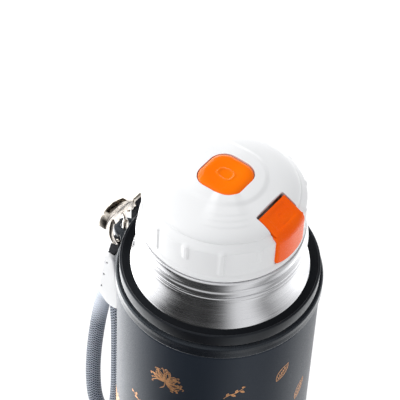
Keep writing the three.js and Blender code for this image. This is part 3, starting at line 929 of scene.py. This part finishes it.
def lock_faces():
    """Quads over the outside and the inside of the lock button, and round its rim."""
    stride = LOCK_ACROSS + 1
    inner = stride * (LOCK_ALONG + 1)
    faces = []
    for i in range(LOCK_ALONG):
        for k in range(LOCK_ACROSS):
            a = i * stride + k
            b = inner + a
            faces.append([a, a + 1, a + stride + 1, a + stride])
            faces.append([b, b + stride, b + stride + 1, b + 1])
    rim = [*range(stride), *(i * stride + LOCK_ACROSS for i in range(1, LOCK_ALONG + 1)),
           *(LOCK_ALONG * stride + k for k in range(LOCK_ACROSS - 1, -1, -1)),
           *(i * stride for i in range(LOCK_ALONG - 1, 0, -1))]
    faces += [[a, inner + a, inner + b, b] for a, b in zip(rim, [*rim[1:], rim[0]])]
    return faces


def lock_button():
    """A sloping top folded over the shoulder into a face that follows the skirt, about 2 mm thick."""
    path, run = lock_path()
    length = run[-1]
    outside, inside = [], []
    for i in range(LOCK_ALONG + 1):
        distance = length * i / LOCK_ALONG
        middle = on_path(path, run, distance)
        down = smoothstep(LOCK_TOP - 1.0, LOCK_TOP + 1.5, distance)
        inward = Vector((0, 0.3, -2.1)).lerp(Vector((0, 1.9, 0.25)), down)
        for k in range(LOCK_ACROSS + 1):
            point = lock_point(middle, distance, length, 2 * k / LOCK_ACROSS - 1)
            outside.append(point)
            inside.append(point + inward)
    button = add_mesh("lock_push", outside + inside, lock_faces(), 38)
    dress(button, ORANGE_DEEP, "lock_press_body", "lock_button")


def stopper_inside():
    """The plug, its seal, and the valve's flap below it."""
    plug = lathe("plug_body", [
        (9, -8), (27.6, -8), (27.6, -3.5), (29, -3.5), (30.1, -2.4), (30.1, 6), (30.8, 7), (30.8, 9),
        (30.1, 10), (30.1, 24.4), (30.8, 24.4), (30.8, 27.2), (27.4, 27.2), (27.4, -4.6), (26.2, -5.8),
        (9.0, -5.8)], 144, corner=0.35)
    dress(plug, WHITE, "stopper", "stopper_plug")
    seal = lathe("plug_ring", [
        (27.9, -7.6), (30.2, -7), (30.95, -6.2), (30.2, -5.4), (30.2, -4.6), (28.6, -3.8),
        (27.9, -3.8)], 144)
    dress(seal, SILICONE, "stopper", "plug_seal")
    flap = lathe("valve_flap", [
        (1.9, -11.9), (10.6, -11.2), (11.2, -9.4), (10.8, -8.35), (1.9, -8.6)], 96)
    dress(flap, SILICONE, "open_press_body", "valve_disc")


stopper_cap()
open_button()
lock_button()
stopper_inside()


# ---- the snap hook
def flat_xz(name, outline, thick, corner=0.0, bevel=0.0, steps=2):
    """A flat piece in the hook's plane, drawn in (x, height from the rim)."""
    def place(x, z, t):
        return x, HOOK_Y + t, z

    return polygon_prism(name, outline, -thick / 2, thick / 2, place, corner, bevel, steps, 40)


def flat_yz(name, outline, middle, thick, corner=0.0, bevel=0.0, steps=2):
    """A flat piece across the hook's plane, drawn in (y, height from the rim)."""
    def place(y, z, t):
        return middle + t, y, z

    return polygon_prism(name, outline, -thick / 2, thick / 2, place, corner, bevel, steps, 40)


def turned_pin(name, axis, pairs, centre, corner=0.0):
    """A small turned piece whose axis is X or Y, from (radius, distance along the axis) pairs."""
    obj = lathe(name, pairs, 32, base=0, corner=corner)
    quarter = pi / 2
    turn = Matrix.Rotation(quarter, 4, "Y") if axis == "X" else Matrix.Rotation(-quarter, 4, "X")
    x, y, z = centre
    obj.data.transform(Matrix.Translation(Vector((x, y, z + RIM_Z)) * MM) @ turn)
    return obj


def wire(name, points, radius_at, tip, sides):
    """A round wire in the hook's plane; radius_at takes the share of its points, and tip ends it."""
    line = catmull([(x, HOOK_Y, RIM_Z + z) for x, z in points])
    plain = [radius_at(k / len(line)) for k in range(len(line) - len(tip))]
    return tube(name, line, plain + tip, sides)


GATE_PIVOT = (-9.6, HOOK_Y, 5.0)
SWIVEL_Z, SWIVEL_EYE_X = 1.8, 2.6
SWIVEL = (-3.1, HOOK_Y, SWIVEL_Z)
JAW_LINE = [
    (-12.6, 3.4), (-14.2, 1.2), (-15.1, -3), (-14.7, -6.8), (-13.3, -10.8), (-11.4, -13.6),
    (-9.2, -14.6), (-7.1, -14.1), (-5.6, -12.4), *((EYE_X, z) for z in (-10.3, -7.5, -5.8, -5.2, -4.9))]
JAW_TIP = [1.25, 1.25, 1.24, 1.22, 1.2, 1.16, 1.1, 1.04, 0.96, 0.85, 0.72, 0.57, 0.38, 0.12]
GATE_LINE = [(-9, 4.6), (-7.3, 2.6), (-6.1, -0.4), (-5.4, -3.4), (-5.35, -3.65)]
GATE_TIP = [0.76, 0.68, 0.55, 0.35, 0.12]


def pivot_hole():
    return turned_pin("hole", "Y", [(0, -4), (0.75, -4), (0.75, 4), (0, 4)], GATE_PIVOT)


def hook_body():
    """A forked spine that runs out into the round jaw, with a bored barrel for the swivel."""
    spine = flat_xz("spine", [
        (-2.6, 6.6), (-5, 8.4), (-8.4, 10.2), (-12, 11.2), (-15.4, 11.3), (-18, 10.6), (-19.7, 8.8),
        (-20.8, 6.4), (-20.9, 4.2), (-19.7, 4), (-18.8, 6.2), (-17.2, 7.2), (-15.4, 5.6), (-14.4, 1.6),
        (-11.6, 1.8), (-10.8, 3.9), (-7.4, 4.2), (-4.6, 2.2), (-2.6, 1)], 3.8, 0.9, 0.45, 4)
    jaw = wire("jaw", JAW_LINE, lambda share: 1.05 + 0.2 * smoothstep(0.12, 0.5, share), JAW_TIP, 20)
    barrel = turned_pin("barrel", "X", [
        (0, -1.5), (1.65, -1.5), (1.9, -1.2), (1.9, -0.8), (1.7, -0.6), (1.7, 0.6), (1.9, 0.8), (1.9, 1.2),
        (1.65, 1.5), (0, 1.5)], SWIVEL, 0.15)
    bore = turned_pin("bore", "X", [(0, -1), (1.25, -1), (1.25, 4), (0, 4)], SWIVEL)
    fork = flat_xz("fork", [(-17.4, 1.4), (-5.6, 1.4), (-5.6, 15.4), (-17.4, 15.4)], 2.3)
    boolean(spine, [fork])
    boolean(spine, [jaw, barrel], "UNION")
    boolean(spine, [bore, pivot_hole()])
    spine.name = "hook"
    dress(spine, NICKEL, "hook", "hook_body")


def hook_gate():
    """The lever lies in the fork, ribbed along its top for the thumb; its wire closes the jaw."""
    top = [(-8.2, 7.4)]
    for k in range(9):
        x = -9.4 - 0.7 * k
        z = 7.4 + (8.2 + x) / (8.2 - 15.8) * 1.6
        top += [(x + 0.16, z + 0.25), (x - 0.16, z + 0.25), (x - 0.24, z)]
    lever = flat_xz("gate_lever", [
        *top, (-15.9, 9), (-16.6, 8.2), (-16.6, 5.8), (-10.8, 4), (-9.4, 3.6), (-7.6, 3.8),
        (-7.4, 5.4)], 1.4, 0.08, 0.15)
    boolean(lever, [wire("gate_wire", GATE_LINE, lambda share: 0.8, GATE_TIP, 16)], "UNION")
    boolean(lever, [pivot_hole()])
    lever.name = "gate"
    dress(lever, NICKEL, "gate", "hook_gate")
    axle = turned_pin("gate_axle", "Y", [
        (0, -2.1), (0.45, -2.1), (0.65, -1.85), (0.65, 1.85), (0.45, 2.1), (0, 2.1)], GATE_PIVOT, 0.15)
    dress(axle, NICKEL, "hook", "gate_pin")


def hook_swivel():
    """A stem in the barrel, and an eye for the pull tab."""
    eye_z = SWIVEL_Z - 0.4
    eye = flat_xz("swivel_eye", rounded_rect(6.8, 4.6, 1.8, SWIVEL_EYE_X, eye_z, 8), 1.5, 0, 0.5, 4)
    window = flat_xz("window", rounded_rect(4.6, 2.4, 0.6, SWIVEL_EYE_X, eye_z, 4), 4)
    stem = turned_pin("stem", "X", [(0, -0.8), (0.95, -0.8), (0.95, 3.2), (0, 3.2)], SWIVEL, 0.15)
    boolean(eye, [window])
    boolean(eye, [stem], "UNION")
    eye.name = "swivel"
    dress(eye, NICKEL, "swivel", "hook_swivel")


def arc(radius, z, first, last, steps):
    """Points of an arc across the hook's plane, as (y, height), from one angle to another."""
    angles = [radians(first + (last - first) * k / steps) for k in range(steps + 1)]
    return [(HOOK_Y + radius * cos(a), z + radius * sin(a)) for a in angles]


def pull_tab():
    """A band folded over the eye: a teardrop loop above and two layers sewn together below."""
    eye_z, reach, gap, foot = SWIVEL_Z - 2.15, 1.75, 1.1, -11.0
    half = [(0.12, foot), (1.3, foot), (1.55, foot + 0.4), (1.65, eye_z - 4), (reach, eye_z - 1.5)]
    sides = [*((-y, z) for y, z in reversed(half)), (0, foot + 0.4), *half]
    slot = [(-gap, eye_z - 0.6), (-0.3, -5), (0.3, -5), (gap, eye_z - 0.6)]
    outline = arc(reach, eye_z, 0, 180, 16) + [(HOOK_Y + y, z) for y, z in sides]
    opening = arc(gap, eye_z, 0, 180, 16) + [(HOOK_Y + y, z) for y, z in slot]
    band = flat_yz("pull_band", outline, SWIVEL_EYE_X, 4.0, 0, 0.35, 3)
    boolean(band, [flat_yz("hole", opening, SWIVEL_EYE_X, 6)])
    dress(band, WEBBING, "swivel", "pull_tab")


hook_body()
hook_gate()
hook_swivel()
pull_tab()


# ---- the strap's tab, clamp and rivets
RIVETS = [(50.2, -28.6), (51.9, -37.4), (53.2, -46.2)]
CLAMP_T = 7.6


def strap_tab():
    """A narrow band looped round the jaw, its tail held in the clamp."""
    z = -14.3
    tail = [(44.1, -17.2), (47.9, -23.9), (47.9, -26.8), (50.9, -26.8), (50.9, -22.8), (49.2, -15.6)]
    band = flat_yz("tab_band", arc(3.0, z, 20, 236, 24) + tail, STRAP_X, 3.0, 0.2, 0.35, 3)
    boolean(band, [flat_yz("hole", arc(2.2, z, 0, 345, 23), STRAP_X, 6)])
    dress(band, WEBBING, "strap", "strap_tab")


def strap_clamp():
    """A rounded body with a fine parting groove round it and three hollows for rivets."""
    outline = [(43.4, -57), (50.2, -57), (55.2, -50.8), (52.2, -23.8), (46.6, -23.8), (43.4, -46)]
    within = [(43.75, -56.65), (50.1, -56.65), (54.85, -50.9), (51.9, -24.15), (46.85, -24.15),
              (43.75, -45.9)]
    body = flat_yz("clamp", outline, STRAP_X, CLAMP_T, 3.0, 1.0, 6)
    groove = flat_yz("groove", [(38, -62), (60, -62), (60, -18), (38, -18)], STRAP_X, 0.24)
    boolean(groove, [flat_yz("core", within, STRAP_X, 3.0, 1.5)])
    tail = [(47.6, -27.3), (51.2, -27.3), (51.2, -20), (47.6, -20)]
    pocket = flat_yz("pocket", tail, STRAP_X, 3.6, 0.3)
    hollows = [turned_pin("hollow", "X", [(0, -2), (0.85, -2), (0.8, 1.2), (0, 1.2)],
                          (STRAP_X - CLAMP_T / 2, y, z)) for y, z in RIVETS]
    boolean(body, [groove, pocket, *hollows])
    # Its white is painted lighter than the cap's white, a painted highlight.
    dress(body, CLAMP_WHITE_PAINTED_LIGHT, "strap", "strap_clamp")


def clamp_rivets():
    """A domed head at the bottom of each hollow."""
    head = [(0, -0.6), (0.3, -0.57), (0.5, -0.46), (0.62, -0.3), (0.65, -0.1), (0.65, 0.6), (0, 0.6)]
    for index, (y, z) in enumerate(RIVETS, 1):
        rivet = turned_pin("rivet_%d" % index, "X", head, (STRAP_X - CLAMP_T / 2 + 0.45, y, z), 0.1)
        dress(rivet, STEEL, "strap", "clamp_rivet_%d" % index)


strap_tab()
strap_clamp()
clamp_rivets()


# ---- finishes of the CAD nodes that stay
FINISHES = {
    "base_plate": STEEL, "getter": STEEL, "valve_spring": STEEL, "lock_spring": STEEL,
    "valve_guide": WHITE, "valve_stem": WHITE, "lock_slider": WHITE, "collar_seal": SILICONE,
}
for node, look in FINISHES.items():
    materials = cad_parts[node].data.materials
    materials.clear()
    materials.append(look.material)


# ---- floor and light
# The studio's strength by degrees round the object from +X. Glossy surfaces mirror the walls and the
# ceiling, matt ones are lit by an even, softer sky, and the camera sees plain white.
WALLS = [
    (0, 1.8), (22, 2.4), (36, 3.8), (90, 4), (118, 2.2), (138, 1.2), (152, 0.1), (166, 0.02),
    (185, 0.05), (205, 0.03), (220, 0.12), (238, 0.95), (256, 1), (276, 0.3), (315, 1.2), (334, 2),
    (347, 1.1), (360, 1.8)]
CEILING = [
    (0, 0.2), (35, 0.14), (60, 0.3), (95, 0.6), (140, 1.2), (185, 0.9), (215, 0.85), (270, 0.85),
    (310, 0.5), (360, 0.2)]
SOFT = [
    (0, 0.64), (60, 0.74), (130, 0.98), (172, 0.90), (200, 0.60), (240, 0.72), (300, 0.78), (360, 0.66)]
BRIGHTEST = 4.0  # a colour ramp holds at most 1, so strengths go in as shares of this


def sky():
    """The world's node tree, one strength for each kind of ray."""
    world = bpy.data.worlds.new("studio")
    bpy.context.scene.world = world
    world.use_nodes = True
    look = Nodes(world.node_tree)
    x, y, z = look.axes(look.place("Generated"))
    turn = look.math("DIVIDE", look.math("ARCTAN2", y, x), TAU)
    share = look.math("FRACT", look.plus(turn, 1.0))

    def band(levels):
        stops = [(angle / 360, (strength / BRIGHTEST,) * 3) for angle, strength in levels]
        return look.times(look.colours(share, *stops), BRIGHTEST)

    def mixed(factor, a, b):
        return look.plus(look.times(a, look.math("SUBTRACT", 1.0, factor)), look.times(b, factor))

    ray = look.node("ShaderNodeLightPath").outputs
    mirrored = mixed(look.ramp(z, 0.15, 0.5), band(WALLS), band(CEILING))
    soft = look.times(band(SOFT), look.ramp(z, 0.0, 0.8, 0.78, 1.13))
    lit = mixed(ray["Is Glossy Ray"], soft, mirrored)
    seen = mixed(ray["Is Camera Ray"], lit, 1.0)
    background = world.node_tree.nodes["Background"]
    background.inputs["Color"].default_value = (0.985, 0.99, 1.0, 1)
    look.link(seen, background.inputs["Strength"])


# Each lamp's place and size in metres, and its power in watts.
LAMPS = {
    "key": ((-0.6, 1.15, 0.7), (0.9, 0.9), 9),
    "floor_wash": ((0.5, 1.4, 1.3), (1.2, 0.8), 8),
}
LAMP_TARGET = Vector((0, 0, 0.2))


def studio():
    """A plain pale floor and two soft lamps."""
    bpy.ops.mesh.primitive_plane_add(size=4, location=(0, 0, -0.0002))
    floor = bpy.context.object
    floor.name = "floor"
    grey, pale = (0.93,) * 3, (0.96,) * 3
    look = Look("floor_paper", None, grey, 0.9, Emission_Color=(1, 1, 1, 1), Emission_Strength=0.1)
    look.color(look.noise(6, 2), (0.3, grey), (0.7, pale))
    floor.data.materials.append(look.material)
    floor.visible_glossy = False
    for name, (place, size, power) in LAMPS.items():
        data = bpy.data.lights.new(name, "AREA")
        data.shape = "RECTANGLE"
        data.size, data.size_y = size
        data.energy = power
        lamp = new_object(name, data)
        lamp.location = place
        lamp.rotation_euler = (LAMP_TARGET - Vector(place)).to_track_quat("-Z", "Y").to_euler()
    bpy.context.scene.view_settings.view_transform = "Standard"


sky()
studio()

# The bare neck mirrors the bright studio and not the dark pieces next to it.
for name in ("collar_ring", "ring", "body_shell", "pull_band"):
    bpy.data.objects[name].visible_glossy = False
